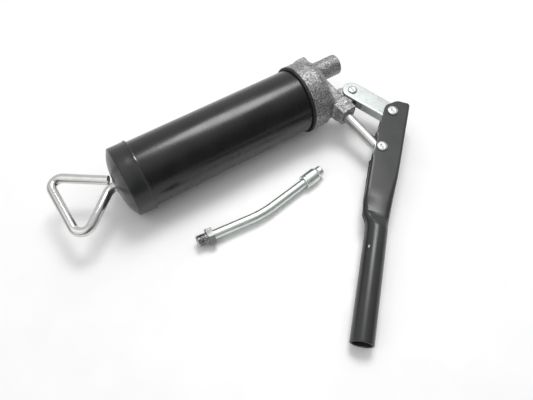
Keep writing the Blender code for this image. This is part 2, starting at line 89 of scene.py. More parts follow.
plane_normal = -Vector(joints["lever_squeeze"]["axis"])
inward = Vector(joints["plunger_stroke"]["axis"])
lever_pivot = Vector(joints["lever_squeeze"]["pos_m"])
link_pivot = Vector(joints["link_swing"]["pos_m"])

# GUN lies on the barrel's axis at its rear end, with X forwards. ALONG_X lays a skin turned round Z along it.
GUN = axes_at(joints["rod_turn"]["pos_m"], (1, 0, 0), plane_normal)
ALONG_X = Matrix.Rotation(math.radians(90), 4, "Y")

# PUMP lies where the plunger's axis crosses the barrel's, with Y along the plunger and away from the lever.
across = GUN.to_3x3().col[1]
PLUNGER_REACH = (GUN.translation - lever_pivot).dot(across) / inward.dot(across) / MM
PUMP = axes_at(lever_pivot + inward * PLUNGER_REACH * MM, inward.cross(plane_normal), plane_normal)

# LINK lies on the pin in the head's ear, with X towards the pin in the lever.
LINK = axes_at(link_pivot, middle("link_pin") - link_pivot, plane_normal)
LINK_LENGTH = (middle("link_pin") - link_pivot).length / MM

# LEVER lies on the plunger's pin, with X towards the handle's end.
HANDLE_TURN = math.radians(-138.9)
LEVER = spun(axes_at(lever_pivot, PUMP.to_3x3().col[0], plane_normal), HANDLE_TURN)

# PIPE lies at the loose pipe's bend, tilted because its nut is thicker than its coupler.
PIPE_BEND = Vector((85.5, -72.5, 0)) * MM
PIPE_HEIGHT = 6.63 * MM
PIPE_TILT = math.radians(0.5)
pipe_origin = Vector((GUN.translation.x, GUN.translation.y, PIPE_HEIGHT)) + PIPE_BEND
PIPE = Matrix.Translation(pipe_origin) @ Matrix.Rotation(PIPE_TILT, 4, "Y")


# ---------------------------------------------------------------- mesh tools

SAME_POINT = 0.002 * MM
THREAD_PITCH = 0.907
THREAD_STEP = 0.12
SURFACE_PULLS = 3
RIPPLE_WAVES = 14
RIPPLE_SPREAD = 3.7


def build(name, points, faces, matrix, finish, body, *nodes, slot=None, sharp=35):
    """Makes a piece from points in millimetres in its frame, that rides on a body and replaces its nodes."""
    mesh = bpy.data.meshes.new(name)
    mesh.from_pydata([Vector(p) * MM for p in points], [], faces)
    bm = bmesh.new()
    bm.from_mesh(mesh)
    bmesh.ops.remove_doubles(bm, verts=bm.verts, dist=SAME_POINT)
    loose = [edge for edge in bm.edges if not edge.link_faces]
    bmesh.ops.delete(bm, geom=loose, context="EDGES")
    bmesh.ops.recalc_face_normals(bm, faces=bm.faces)
    bm.to_mesh(mesh)
    bm.free()
    mesh.transform(matrix)
    mesh.shade_smooth()
    mesh.set_sharp_from_angle(angle=math.radians(sharp))
    obj = bpy.data.objects.new(name, mesh)
    bpy.context.scene.collection.objects.link(obj)
    mesh.materials.append(finish)
    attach(obj, body)
    if nodes:
        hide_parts(*nodes)
    slot or finish["slot"]
    return obj


def loft(rings):
    """Points and faces of a closed skin through rings of points, the last ring joined to the first."""
    count = len(rings[0])
    faces = []
    for i in range(len(rings)):
        here, there = i * count, (i + 1) % len(rings) * count
        for j in range(count):
            k = (j + 1) % count
            faces.append((here + j, here + k, there + k, there + j))
    return np.concatenate(rings), faces


def ring(radius, height, count):
    """A circle of points about the Z axis. The radius is a number or a function of the angle."""
    angles = np.arange(count) * 2 * math.pi / count
    radii = radius(angles) if callable(radius) else np.full(count, float(radius))
    return np.stack([radii * np.cos(angles), radii * np.sin(angles), np.full(count, float(height))], axis=1)


def rounded(corners, closed=True, arc_steps=4):
    """Points along a line with corners of (point, radius), each rounded with an arc."""
    count = len(corners)
    points = []
    for i, (corner, radius) in enumerate(corners):
        corner = Vector(corner)
        if radius == 0 or (not closed and i in (0, count - 1)):
            points.append(corner)
            continue
        before = (Vector(corners[i - 1][0]) - corner).normalized()
        after = (Vector(corners[(i + 1) % count][0]) - corner).normalized()
        half = before.angle(after) / 2
        centre = corner + (before + after).normalized() * (radius / math.sin(half))
        start = corner + before * (radius / math.tan(half)) - centre
        end = corner + after * (radius / math.tan(half)) - centre
        sweep = start.angle(end)
        for step in range(arc_steps + 1):
            share = step / arc_steps
            weight = math.sin((1 - share) * sweep), math.sin(share * sweep)
            points.append(centre + (start * weight[0] + end * weight[1]) / math.sin(sweep))
    return points


def turned(profile, count=128, arc_steps=4):
    """A skin turned round the Z axis from corners of (radius, height, rounding)."""
    outline = rounded([((r, h), rounding) for r, h, rounding in profile], arc_steps=arc_steps)
    return loft([ring(max(r, 0), h, count) for r, h in outline])


def thread_radius(root, crest, height):
    """The radius of a screw thread at a height, as a function of the angle."""
    peak, slope = 1.25, 3.6

    def radius(angles):
        phase = (height / THREAD_PITCH - angles / (2 * math.pi)) % 1
        share = np.clip(peak - abs(phase - 0.5) * slope, 0, 1)
        return root + (crest - root) * share

    return radius


def swept(path, sides):
    """A function that gives the ring of a tube at any point of a path, which lies in one flat plane."""
    frames = []
    for i, point in enumerate(path):
        before, after = path[max(i - 1, 0)], path[min(i + 1, len(path) - 1)]
        along = (Vector(after) - Vector(before)).to_3d().normalized()
        frames.append((Vector(point).to_3d(), UP.cross(along)))
    angles = np.arange(sides) * 2 * math.pi / sides

    def tube_ring(index, radius):
        point, side = frames[index]
        radii = radius(angles) if callable(radius) else np.full(sides, float(radius))
        flat = np.outer(radii * np.cos(angles), np.array(side))
        return np.array(point) + flat + np.outer(radii * np.sin(angles), np.array(UP))

    return tube_ring


# ---------------------------------------------------------------- distance functions, in millimetres


def soft_min(a, b, fillet):
    """The nearer of two solids, with a fillet where they meet."""
    share = np.clip(0.5 + 0.5 * (b - a) / fillet, 0, 1)
    return b + (a - b) * share - fillet * share * (1 - share)


def soft_max(a, b, fillet):
    """What two solids share, with a rounding where their surfaces meet."""
    return -soft_min(-a, -b, fillet)


def together(*sides):
    """Distance to what lies inside every side, from the distances to sides that are square to each other."""
    outside = np.stack(sides)
    return np.minimum(outside.max(axis=0), 0) + np.linalg.norm(np.maximum(outside, 0), axis=0)


def cylinder_gap(a, b, along, radius, low, high):
    """Distance to a cylinder, from two coordinates across it and one along it."""
    return together(np.hypot(a, b) - radius, np.abs(along - (low + high) / 2) - (high - low) / 2)


def box_gap(coordinates, low, high, rounding):
    """Distance to a box with rounded edges."""
    sides = []
    for value, start, end in zip(coordinates, low, high):
        sides.append(np.abs(value - (start + end) / 2) - (end - start) / 2 + rounding)
    return together(*sides) - rounding


def outline_gap(x, y, corners):
    """Distance to a flat polygon with corners of (point, radius), negative inside it."""
    points = [tuple(point) for point in rounded(corners)]
    best = np.full(np.shape(x), np.inf)
    inside = np.zeros(np.shape(x), bool)
    for (ax, ay), (bx, by) in zip(points, points[1:] + points[:1]):
        ex, ey = bx - ax, by - ay
        share = np.clip(((x - ax) * ex + (y - ay) * ey) / (ex * ex + ey * ey), 0, 1)
        best = np.minimum(best, np.hypot(x - ax - share * ex, y - ay - share * ey))
        crossing = (ay > y) != (by > y)
        if ey:
            inside ^= crossing & (x < ax + (y - ay) * ex / ey)
    return np.where(inside, -best, best)


def smooth_step(value, low, high):
    """From 0 at low to 1 at high, level at both."""
    share = np.clip((value - low) / (high - low), 0, 1)
    return share * share * (3 - 2 * share)


def skin(gap, low, high, step):
    """Points and faces where a distance function is zero, by surface nets, then moved onto the surface."""
    lines = [np.arange(start, end + step, step) for start, end in zip(low, high)]
    grid = gap(*np.meshgrid(*lines, indexing="ij"))
    cells = [size - 1 for size in grid.shape]
    total = np.zeros((*cells, 3))
    count = np.zeros(cells)
    for corner in itertools.product((0, 1), repeat=3):
        for axis in (axis for axis in range(3) if not corner[axis]):
            other = tuple(c + (k == axis) for k, c in enumerate(corner))
            first = grid[tuple(slice(c, c + n) for c, n in zip(corner, cells))]
            second = grid[tuple(slice(c, c + n) for c, n in zip(other, cells))]
            crossing = (first < 0) != (second < 0)
            share = np.where(crossing, first / np.where(crossing, first - second, 1), 0)
            for k in range(3):
                total[..., k] += crossing * corner[k] + (share if k == axis else 0)
            count += crossing
    number = np.full(cells, -1)
    number[count > 0] = np.arange((count > 0).sum())
    where = np.argwhere(count > 0)
    points = np.array(low) + step * (where + total[count > 0] / count[count > 0][:, None])

    faces = []
    for axis in range(3):
        u, v = (axis + 1) % 3, (axis + 2) % 3
        inside = grid < 0
        ahead = np.roll(inside, -1, axis)
        crossing = inside != ahead
        span = [slice(1, n) for n in cells]
        span[axis] = slice(0, cells[axis])
        found = np.argwhere(crossing[tuple(span)]) + [0 if k == axis else 1 for k in range(3)]
        quad = []
        for du, dv in ((1, 1), (0, 1), (0, 0), (1, 0)):
            shift = np.zeros(3, int)
            shift[u], shift[v] = du, dv
            quad.append(number[tuple((found - shift).T)])
        quad = np.stack(quad, axis=1)
        turned_round = ~inside[tuple(found.T)]
        quad[turned_round] = quad[turned_round][:, ::-1]
        faces.append(quad)
    for _ in range(SURFACE_PULLS):
        points = points - pull(gap, points, step)
    return points, np.concatenate(faces).tolist()


def gradient(gap, points, reach):
    """The direction away from a surface at each point, from the distances a little to each side."""
    slopes = []
    for axis in range(3):
        shift = np.zeros(3)
        shift[axis] = reach
        slopes.append((gap(*(points + shift).T) - gap(*(points - shift).T)) / (2 * reach))
    return np.stack(slopes, axis=1)


def pull(gap, points, step):
    """The move that brings points onto the surface, at most half a step."""
    reach, least_steepness, longest = step * 0.2, 0.2, step * 0.5
    slope = gradient(gap, points, reach)
    move = slope * (gap(*points.T) / np.maximum((slope**2).sum(axis=1), least_steepness))[:, None]
    length = np.linalg.norm(move, axis=1, keepdims=True)
    return move * np.minimum(1, longest / np.maximum(length, 1e-9))


def ripple(points, size, seed):
    """Smooth noise from about -1 to 1, of the given size in millimetres, from seeded sine waves."""
    source = np.random.default_rng(seed)
    value = np.zeros(len(points))
    for _ in range(RIPPLE_WAVES):
        wave = source.normal(size=3)
        wave *= source.uniform(0.7, 1.4) * 2 * math.pi / (size * np.linalg.norm(wave))
        value += np.sin(points @ wave + source.uniform(0, 2 * math.pi))
    return value / RIPPLE_SPREAD


# ---------------------------------------------------------------- materials

RUBBED_METAL = (0.42, 0.42, 0.41)
BARE_METAL = (0.62, 0.62, 0.60)
DUST_GAIN, DUST_LIFT = 2.6, 0.02
HAZE_ROUGHNESS = 0.06
RUB_ROUGHNESS = 0.05
STAIN_ROUGHNESS = 0.10
COAT = 0.12
COAT_ROUGHNESS = 0.2
SCRATCH_SHADE = 0.72
EVEN = (1, 1, 1)

# Worn and chipped spots of (centre, size), and stains and painted shade of (centre, size, colour), in the
# piece's frame.
CAP_SCRAPE = ((-30.0, -3.4, 13.4), (1.2, 2.2, 0.5))
LEVER_CHIP = ((93.8, -0.1, 7.1), (1.2, 0.6, 1.0))
# The link's web is painted darker, standing in for the shade that falls on it: painted shade.
WEB_PAINTED_SHADE = ((21.0, -9.6, 0.0), (34.0, 1.9, 6.0), (0.36, 0.385, 0.365))
THREAD_STAIN = ((-54.4, 5.3, 0.0), (5.4, 7.0, 7.0), (0.25, 0.25, 0.24))


class Finish:
    """A Principled material in a local frame, with short calls for the nodes that these finishes share."""

    def __init__(self, name, slot, colour, metallic, roughness, matrix=None):
        self.material = bpy.data.materials.new(name)
        self.material.use_nodes = True
        self.material["slot"] = slot
        self.nodes = self.material.node_tree.nodes
        self.links = self.material.node_tree.links
        self.shader = self.nodes["Principled BSDF"]
        self.shader.inputs["Base Color"].default_value = (*colour, 1)
        self.shader.inputs["Metallic"].default_value = metallic
        self.shader.inputs["Roughness"].default_value = roughness
        self.place = self.nodes.new("ShaderNodeTexCoord").outputs["Object"]
        if matrix is not None:
            mapping = self.nodes.new("ShaderNodeMapping")
            mapping.inputs["Location"].default_value = matrix.inverted().translation
            mapping.inputs["Rotation"].default_value = matrix.inverted().to_euler()
            self.links.new(self.place, mapping.inputs["Vector"])
            self.place = mapping.outputs["Vector"]

    def noise(self, size, detail=3, stretch=EVEN):
        """Noise whose spots are about this many millimetres across, stretched along its axes."""
        mapping = self.nodes.new("ShaderNodeMapping")
        mapping.inputs["Scale"].default_value = [1 / s for s in stretch]
        self.links.new(self.place, mapping.inputs["Vector"])
        texture = self.nodes.new("ShaderNodeTexNoise")
        texture.inputs["Scale"].default_value = 1 / (size * MM)
        texture.inputs["Detail"].default_value = detail
        self.links.new(mapping.outputs["Vector"], texture.inputs["Vector"])
        return texture.outputs["Fac"]

    def cells(self, size):
        """Cells of about this many millimetres, each with one random value."""
        texture = self.nodes.new("ShaderNodeTexVoronoi")
        texture.inputs["Scale"].default_value = 1 / (size * MM)
        self.links.new(self.place, texture.inputs["Vector"])
        value = self.nodes.new("ShaderNodeSeparateColor")
        self.links.new(texture.outputs["Color"], value.inputs["Color"])
        return value.outputs["Red"]

    def ramp(self, value, low, high, start=0.0, end=1.0):
        """The value spread from low..high to start..end, and held at the ends."""
        node = self.nodes.new("ShaderNodeMapRange")
        node.interpolation_type = "SMOOTHSTEP"
        for socket, number in zip(("From Min", "From Max", "To Min", "To Max"), (low, high, start, end)):
            node.inputs[socket].default_value = number
        self.links.new(value, node.inputs["Value"])
        return node.outputs["Result"]

    def maths(self, operation, first, second):
        """A sum, difference or product, each side a number or the output of a node."""
        node = self.nodes.new("ShaderNodeMath")
        node.operation = operation
        for socket, value in zip(node.inputs, (first, second)):
            if isinstance(value, (int, float)):
                socket.default_value = value
            else:
                self.links.new(value, socket)
        return node.outputs["Value"]

    def colours(self, share, first, second):
        """A mix of two colours, each a triple or the output of another mix."""
        node = self.nodes.new("ShaderNodeMix")
        node.data_type = "RGBA"
        self.links.new(share, node.inputs["Factor"])
        for socket, value in ((node.inputs[6], first), (node.inputs[7], second)):
            if isinstance(value, tuple):
                socket.default_value = (*value, 1)
            else:
                self.links.new(value, socket)
        return node.outputs[2]

    def raised_edges(self, width, low=0.02, high=0.16):
        """Near 1 on edges of the piece and 0 on its flats."""
        edge = self.nodes.new("ShaderNodeBevel")
        edge.samples = 4
        edge.inputs["Radius"].default_value = width * MM
        geometry = self.nodes.new("ShaderNodeNewGeometry")
        product = self.nodes.new("ShaderNodeVectorMath")
        product.operation = "DOT_PRODUCT"
        self.links.new(edge.outputs["Normal"], product.inputs[0])
        self.links.new(geometry.outputs["Normal"], product.inputs[1])
        return self.ramp(self.maths("SUBTRACT", 1.0, product.outputs["Value"]), low, high)

    def spot(self, centre, size):
        """Near 1 on a small spot about a point of the piece, in millimetres, with a ragged edge."""
        value = self.place
        for operation, vector in (("SUBTRACT", centre), ("DIVIDE", size), ("LENGTH", (0, 0, 0))):
            node = self.nodes.new("ShaderNodeVectorMath")
            node.operation = operation
            node.inputs[1].default_value = Vector(vector) * MM
            self.links.new(value, node.inputs[0])
            value = node.outputs["Value" if operation == "LENGTH" else "Vector"]
        raggedness = self.ramp(self.noise(0.9, 4), 0.3, 0.7, -0.35, 0.35)
        return self.ramp(self.maths("ADD", value, raggedness), 0.8, 1.0, 1.0, 0.0)

    def set(self, socket, value):
        """Feeds the shader's socket from the output of a node."""
        self.links.new(value, self.shader.inputs[socket])

    def bump(self, *layers):
        """Bumps stacked on each other, each of (value, depth in millimetres)."""
        normal = None
        for value, depth in layers:
            node = self.nodes.new("ShaderNodeBump")
            node.inputs["Strength"].default_value = 1.0
            node.inputs["Distance"].default_value = depth * MM
            self.links.new(value, node.inputs["Height"])
            if normal:
                self.links.new(normal, node.inputs["Normal"])
            normal = node.outputs["Normal"]
        self.set("Normal", normal)


def enamel(name, slot, matrix, colours, roughness, peel=0.012, wear=0.0, stretch=EVEN, spots=()):
    """Sprayed enamel: faint orange peel, hazy patches, rubbed streaks, dust specks and chipped edges."""
    dark, light = colours
    finish = Finish(name, slot, dark, 0.0, roughness, matrix)
    haze = finish.ramp(finish.noise(24, 4), 0.35, 0.7)
    colour = finish.colours(haze, dark, light)
    dust = finish.ramp(finish.noise(0.9, 2), 0.74, 0.80, 0.0, 0.5)
    colour = finish.colours(dust, colour, tuple(channel * DUST_GAIN + DUST_LIFT for channel in light))
    if wear:
        patches = finish.ramp(finish.noise(3.2, 5), 0.56, 0.62, 0, wear)
        chips = finish.maths("MULTIPLY", finish.raised_edges(0.7), patches)
        colour = finish.colours(chips, colour, RUBBED_METAL)
    for centre, size in spots:
        colour = finish.colours(finish.spot(centre, size), colour, BARE_METAL)
    finish.set("Base Color", colour)

    rub = finish.ramp(finish.noise(1.1, 5, stretch), 0.5, 0.78)
    duller = finish.maths("ADD", finish.maths("MULTIPLY", haze, HAZE_ROUGHNESS), roughness)
    finish.set("Roughness", finish.maths("ADD", finish.maths("MULTIPLY", rub, RUB_ROUGHNESS), duller))
    fine_lines = finish.noise(0.5, 3, stretch)
    finish.bump((finish.noise(2.4, 2), peel), (finish.noise(14, 2), peel * 2), (fine_lines, 0.0002))
    finish.shader.inputs["Coat Weight"].default_value = COAT
    finish.shader.inputs["Coat Roughness"].default_value = COAT_ROUGHNESS
    return finish.material


def cast_metal():
    """Sand-cast metal: grains from dark to bright, small pits, edges rubbed bright, and small specks painted
    near-white as glints of the lamp.
    """
    dark, bright, patch = (0.07, 0.07, 0.07), (0.43, 0.43, 0.43), (0.24, 0.24, 0.242)
    painted_glint, rubbed = (0.80, 0.80, 0.80), (0.46, 0.46, 0.455)
    finish = Finish("cast_metal", "cast_iron", (0.3, 0.3, 0.3), 0.85, 0.38)
    grain = finish.cells(0.62)
    colour = finish.colours(finish.ramp(grain, 0.05, 0.95), dark, bright)
    colour = finish.colours(finish.ramp(finish.noise(7, 4), 0.3, 0.7, 0.0, 0.6), colour, patch)
    # Small cells painted near-white: a painted highlight standing in for the lamp's glints on the grains.
    colour = finish.colours(finish.ramp(finish.cells(0.5), 0.84, 0.93, 0.0, 0.8), colour, painted_glint)
    colour = finish.colours(finish.raised_edges(0.9, 0.03, 0.3), colour, rubbed)
    finish.set("Base Color", colour)
    finish.set("Roughness", finish.ramp(finish.noise(0.8, 3), 0.3, 0.7, 0.30, 0.46))
    finish.bump((finish.noise(0.5, 3), 0.24), (finish.noise(1.4, 2), 0.14), (grain, 0.10))
    return finish.material


def machined(name, slot, colour, roughness, stretch, depth=0.006, haze=0.16, stains_and_painted_shade=(), matrix=None):
    """Bare or plated metal with fine tool lines, faint stains, small scratches and darker spots: a real stain
    on the pipe's thread, painted shade on the link's web.
    """
    finish = Finish(name, slot, colour, 1.0, roughness, matrix)
    stain = finish.ramp(finish.noise(6, 5), 0.38, 0.72)
    mixed = finish.colours(stain, colour, tuple(channel * (1 - haze) for channel in colour))
    scratches = finish.ramp(finish.noise(1.3, 6, (1, 6, 1)), 0.63, 0.72, 0, 0.5)
    mixed = finish.colours(scratches, mixed, tuple(channel * SCRATCH_SHADE for channel in colour))
    # Each given spot is painted darker; on the link's web this is painted shade.
    for centre, size, shade in stains_and_painted_shade:
        mixed = finish.colours(finish.spot(centre, size), mixed, shade)
    finish.set("Base Color", mixed)

    lines = finish.noise(0.35, 3, stretch)
    lined = finish.ramp(lines, 0.3, 0.7, roughness - 0.04, roughness + 0.05)
    finish.set("Roughness", finish.maths("ADD", finish.maths("MULTIPLY", stain, STAIN_ROUGHNESS), lined))
    finish.bump((lines, depth), (finish.noise(5, 3), depth * 4))
    return finish.material


def rubber():
    """Moulded rubber: matt, faintly dusty, with a fine grain."""
    finish = Finish("rubber_black", "rubber", (0.012, 0.012, 0.012), 0.0, 0.55)
    dusty = finish.ramp(finish.noise(3, 5), 0.45, 0.8)
    finish.set("Base Color", finish.colours(dusty, (0.009, 0.009, 0.009), (0.030, 0.030, 0.029)))
    finish.set("Roughness", finish.ramp(finish.noise(0.8, 3), 0.3, 0.7, 0.48, 0.68))
    finish.bump((finish.noise(0.5, 3), 0.03))
    return finish.material


BARREL_COLOURS = (0.0036, 0.0038, 0.0040), (0.0062, 0.0066, 0.0064)
BARREL_PAINT = enamel(
    "barrel_enamel", "black_enamel", GUN @ ALONG_X, BARREL_COLOURS, 0.23, stretch=(30, 30, 1)
)
CAP_COLOURS = (0.008, 0.0092, 0.0086), (0.015, 0.017, 0.0158)
CAP_PAINT = enamel(
    "cap_enamel_paint", "cap_enamel", GUN @ ALONG_X, CAP_COLOURS, 0.27,
    peel=0.02, wear=0.35, spots=[CAP_SCRAPE],
)
LEVER_COLOURS = (0.020, 0.0215, 0.021), (0.027, 0.029, 0.028)
LEVER_PAINT = enamel(
    "lever_enamel", "charcoal_enamel", LEVER, LEVER_COLOURS, 0.28,
    peel=0.010, wear=0.5, stretch=(9, 1, 1), spots=[LEVER_CHIP],
)
CAST = cast_metal()
CHROME = machined("bright_chrome", "chrome", (0.70, 0.70, 0.69), 0.07, (8, 8, 8), depth=0.002, haze=0.08)
# The link's web is painted darker as painted shade.
LINK_ZINC = machined(
    "link_zinc", "zinc", (0.48, 0.515, 0.50), 0.28, (20, 1, 1), haze=0.08, stains_and_painted_shade=[WEB_PAINTED_SHADE], matrix=LINK
)
PIPE_ZINC = machined(
    "pipe_zinc", "zinc", (0.80, 0.86, 0.82), 0.36, (14, 1, 1), haze=0.10, stains_and_painted_shade=[THREAD_STAIN], matrix=PIPE
)
NUT_ZINC = machined("nut_zinc", "zinc", (0.34, 0.35, 0.335), 0.42, EVEN, depth=0.02, haze=0.3)
RIVET_ZINC = machined("rivet_zinc", "zinc", (0.56, 0.585, 0.575), 0.33, EVEN, depth=0.02, haze=0.22)
GROUND_STEEL = machined(
    "ground_steel", "steel", (0.56, 0.56, 0.545), 0.30, (16, 1, 16), depth=0.008, haze=0.18, matrix=PUMP
)
DARK_STEEL = machined("oiled_steel", "steel", (0.32, 0.32, 0.31), 0.38, EVEN, depth=0.02, haze=0.4)
SPRING_STEEL = machined("spring_steel", "steel", (0.45, 0.45, 0.44), 0.32, EVEN, depth=0.01, haze=0.3)
RUBBER = rubber()


# ---------------------------------------------------------------- gun: barrel, cap, bush and gasket

BARREL_R = 28.5
BARREL_WALL = 1.2
BARREL_REAR = 2.0
BARREL_FRONT = 180.0
BAND_R = 29.8
BEAD_R = 30.3
BAND_LENGTH = 14.5
DOME_DEPTH = 7.5
DOME_EDGE = 1.7
CAP_WALL = 1.4
CAP_DENT = 0.10
BUSH_R = 6.0
BUSH_FRONT = -3.0
BUSH_REAR = -8.1
GASKET_R = 30.8
GASKET_REAR, GASKET_FRONT = 165.4, 167.6
ROD_R = 4.0
SLIDING_GAP = 0.12


def make_barrel():
    """The drawn tube, with rings close enough along it for its paint to stay smooth."""
    inner, edge = BARREL_R - BARREL_WALL, 0.4
    profile = [(BARREL_R, height, 0) for height in np.linspace(BARREL_FRONT - 1, BARREL_REAR + 1, 24)]
    profile += [(BARREL_R, BARREL_REAR, edge), (inner, BARREL_REAR, edge), (inner, BARREL_FRONT, edge)]
    profile += [(BARREL_R, BARREL_FRONT, edge)]
    build("barrel_skin", *turned(profile, 144, 2), GUN @ ALONG_X, BARREL_PAINT, "gun", "barrel_tube")


def make_cap():
    """The pressed rear cap: a domed end set in a sharp rim, a plain band and a rolled bead at the front."""
    hole = BUSH_R + 0.15
    rim = BAND_R - 1.5
    skirt = BARREL_R + SLIDING_GAP
    outside = [(skirt, BAND_LENGTH, 0.3), (BEAD_R, BAND_LENGTH, 0.55), (BEAD_R, BAND_LENGTH - 1.9, 0.7)]
    outside += [(BAND_R, BAND_LENGTH - 2.4, 0.5), (BAND_R, 8.0, 0), (BAND_R, -1.1, 1.3)]
    dome = []
    for radius in np.linspace(rim - 0.6, hole, 14):
        dome.append((radius, -DOME_EDGE - (DOME_DEPTH - DOME_EDGE) * (1 - (radius / rim) ** 3), 0))
    inside = [(radius - 0.3, height + CAP_WALL, 0) for radius, height, _ in dome[:-1]]
    inside.append((hole, dome[-1][1] + CAP_WALL, 0))
    profile = outside + dome + inside[::-1] + [(skirt, 0.6, 0.3)]
    points, faces = turned(profile, 144, 3)
    radii = np.hypot(points[:, 0], points[:, 1])
    dents = CAP_DENT * ripple(points, 22, 5) * smooth_step(radii, 8, 14)
    points[:, :2] *= (1 - np.maximum(dents, 0) / np.maximum(radii, 1))[:, None]
    build("cap_skin", points, faces, GUN @ ALONG_X, CAP_PAINT, "gun", "rear_cap")


def make_bush():
    """The pull rod's guide, which shows as a narrow ring in the middle of the cap."""
    inner = ROD_R + SLIDING_GAP
    profile = [(BUSH_R, BUSH_FRONT, 0.2), (BUSH_R, BUSH_REAR, 0.5)]
    profile += [(inner, BUSH_REAR, 0.3), (inner, BUSH_FRONT, 0.2)]
    build("bush_skin", *turned(profile, 72), GUN @ ALONG_X, DARK_STEEL, "gun", "rod_bush")


def make_gasket():
    """The rubber ring that the head is screwed against."""
    inner = BARREL_R + 0.1
    profile = [(GASKET_R, GASKET_FRONT, 0.7), (GASKET_R, GASKET_REAR, 0.8)]
    profile += [(inner, GASKET_REAR, 0.2), (inner, GASKET_FRONT, 0.2)]
    build("gasket_skin", *turned(profile, 144), GUN @ ALONG_X, RUBBER, "gun", "barrel_gasket")


# ---------------------------------------------------------------- gun: head casting

# The collar and the outlet are measured along the barrel. The spine, the block and the ear are in the pump's
# frame, the block from BLOCK_START to BLOCK_END towards the lever. The port joins the barrel and the bore.
COLLAR_R = 30.7
COLLAR_REAR = 167.7
COLLAR_FRONT = 191.0
COLLAR_ROUNDING = 10.5
HEAD_FLOOR = 181.0
SPINE_LOW = (-6.4, -32.0, -9.3)
SPINE_HIGH = (6.4, 33.6, 9.3)
SPINE_ROUNDING = 1.7
BLOCK_START, BLOCK_END = 24.0, 38.6
BLOCK_SECTION = [((-7.6, 9.5), 1.0), ((7.8, 9.5), 1.0), ((8.7, 5.0), 2.0), ((8.7, -3.6), 3.4)]
BLOCK_SECTION += [((4.6, -10.0), 3.6), ((-4.6, -10.0), 3.6), ((-8.7, -3.6), 3.4), ((-8.7, 5.0), 2.0)]
BLOCK_HALF = 8.7
BLOCK_TAPER = ([23.5, 38.0], [9.2, 7.0])
BORE_R = 5.0
BORE_BOTTOM = 29.2
PORT_R, PORT_MIDDLE, PORT_HALF = 3.5, 187, 7
OUTLET_Y = 17.2
OUTLET_START, OUTLET_END = 180.0, 223.4
OUTLET_R = 9.5
OUTLET_BORE_R, OUTLET_BORE_START = 5.0, 212.8
THROAT_R, THROAT_START = 3.9, 204.5
OUTLET_THREAD_R, OUTLET_THREAD_CREST = 4.95, 4.42
OUTLET_THREAD_START, OUTLET_THREAD_END = 213.0, 222.6
HEAD_PIN = (20.7, -20.3)
PIN_R = 3.0
EYE_R = 7.2
EAR_HALF = 2.8
EAR_WEB = [((3.0, -33.0), 0), ((18.8, -27.2), 0), ((22.6, -13.4), 0), ((3.0, -8.0), 0)]
FILLETS = {"spine": 3.6, "boss": 4.5, "block": 2.6, "ear": 2.4}
CAST_STEP = 0.55

# Where the pump's plane crosses the barrel's axis, and how far the bore leans forwards.
PUMP_X = (PUMP.translation - GUN.translation).x / MM
LEAN = GUN.to_3x3().col[1].angle(PUMP.to_3x3().col[1])


def head_gap(s, y, n):
    """Distance to the casting: s runs along the barrel, y away from the lever, n out of the pump's plane."""
    px = (s - PUMP_X) * math.cos(LEAN) + y * math.sin(LEAN)
    py = y * math.cos(LEAN) - (s - PUMP_X) * math.sin(LEAN)
    radius, outlet_radius = np.hypot(y, n), np.hypot(y - OUTLET_Y, n)
    bore_radius, pin_radius = np.hypot(px, n), np.hypot(px - HEAD_PIN[0], py - HEAD_PIN[1])

    across = np.maximum(radius - (COLLAR_R - COLLAR_ROUNDING), 0)
    ahead = np.maximum(s - (COLLAR_FRONT - COLLAR_ROUNDING), 0)
    deep = (across == 0) & (ahead == 0)
    collar = np.where(
        deep, np.maximum(radius - COLLAR_R, s - COLLAR_FRONT), np.hypot(across, ahead) - COLLAR_ROUNDING
    )
    collar = soft_max(collar, COLLAR_REAR - s, 0.8)
    spine = box_gap((px, py, n), SPINE_LOW, SPINE_HIGH, SPINE_ROUNDING)
    body = soft_min(collar, spine, FILLETS["spine"])

    boss = cylinder_gap(y - OUTLET_Y, n, s, OUTLET_R, OUTLET_START, OUTLET_END)
    boss = soft_max(boss, outlet_radius + (s - OUTLET_END) * 0.8 - OUTLET_R + 0.7, 0.6)
    body = soft_min(body, boss, FILLETS["boss"])

    taper = np.where(px < 0, BLOCK_HALF / np.interp(-py, *BLOCK_TAPER), 1)
    ends = np.abs(py + (BLOCK_START + BLOCK_END) / 2) - (BLOCK_END - BLOCK_START) / 2
    block = soft_max(outline_gap(px * taper, n, BLOCK_SECTION), ends, 1.4)
    body = soft_min(body, block, FILLETS["block"])

    ear = np.minimum(pin_radius - EYE_R, outline_gap(px, py, EAR_WEB))
    ear = soft_max(ear, np.abs(n) - EAR_HALF, 0.8)
    body = soft_min(body, ear, FILLETS["ear"])

    socket = np.maximum(radius - (BARREL_R + 0.2), s - HEAD_FLOOR)
    body = soft_max(body, -socket, 0.5)
    bore = np.maximum(bore_radius - (BORE_R - 0.05), py - BORE_BOTTOM)
    mouth = bore_radius + (py + BLOCK_END) - BORE_R - 0.6
    body = soft_max(body, -np.minimum(bore, mouth), 0.3)
    port = np.maximum(radius - PORT_R, np.abs(s - PORT_MIDDLE) - PORT_HALF)
    outlet = np.maximum(outlet_radius - OUTLET_BORE_R, OUTLET_BORE_START - s)
    throat = np.maximum(outlet_radius - THROAT_R, THROAT_START - s)
    for hole in (port, outlet, throat):
        body = np.maximum(body, -hole)
    return np.maximum(body, PIN_R + 0.08 - pin_radius)


